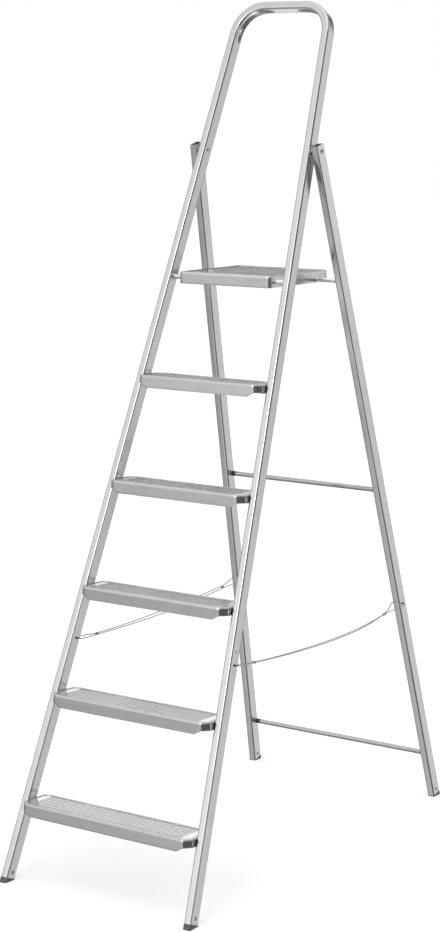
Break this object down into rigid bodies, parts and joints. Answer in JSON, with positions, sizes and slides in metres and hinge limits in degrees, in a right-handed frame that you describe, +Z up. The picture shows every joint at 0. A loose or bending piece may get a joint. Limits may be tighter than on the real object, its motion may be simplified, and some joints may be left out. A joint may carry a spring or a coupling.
{
  "type": "folding platform stepladder",
  "caption": "Folding steel A-frame stepladder: tapered tube frame with pressed treads, tilting platform, hand hoop, hinged rear frame and restraint cords.",
  "frame": {"origin": "middle of the footprint, on the floor", "axes": "+Z up, the climbing side faces -Y, the rear frame stands towards +Y, +X to the right of a climber"},
  "size_m": [0.5072, 1.0128, 1.7852],
  "materials": {
    "tube_steel": "bright zinc-plated tube",
    "tread_steel": "bright zinc-plated sheet",
    "platform_steel": "bright zinc-plated sheet",
    "rod_steel": "bright drawn bar",
    "rivet_steel": "plated rivet",
    "foot_plastic": "dark grey moulded plastic",
    "cord": "pale laid cord"
  },
  "bodies": {
    "front_frame": {"front_frame_tube": "tube_steel", "tread_1": "tread_steel", "tread_2": "tread_steel", "tread_3": "tread_steel", "tread_4": "tread_steel", "tread_5": "tread_steel", "tread_rivets": "rivet_steel", "front_foot_left": "foot_plastic", "front_foot_right": "foot_plastic", "platform_pivot_rod": "rod_steel", "pivot_rivet_left": "rivet_steel", "pivot_rivet_right": "rivet_steel", "pivot_washer_left": "rivet_steel", "pivot_washer_right": "rivet_steel", "restraint_cord_left": "cord", "restraint_cord_right": "cord"},
    "rear_frame": {"rear_leg_left": "tube_steel", "rear_leg_right": "tube_steel", "rear_crossbar_upper": "rod_steel", "rear_crossbar_lower": "rod_steel", "platform_rest_rod": "rod_steel", "rear_foot_left": "foot_plastic", "rear_foot_right": "foot_plastic"},
    "platform_tray": {"platform": "platform_steel"}
  },
  "joints": [
    {"name": "rear_frame_fold", "type": "hinge", "parent": "front_frame", "child": "rear_frame", "pos_m": [0, 0.08464, 1.4745], "axis": [-1, 0, 0], "range_deg": [0, 32], "deforming": ["restraint_cord_left", "restraint_cord_right"]},
    {"name": "platform_tilt", "type": "hinge", "parent": "front_frame", "child": "platform_tray", "pos_m": [0, -0.01821, 1.2107], "axis": [1, 0, 0], "range_deg": [0, 64]}
  ],
  "couplings": [
    {"joint": "platform_tilt", "follows": "rear_frame_fold", "ratio": 2}
  ]
}
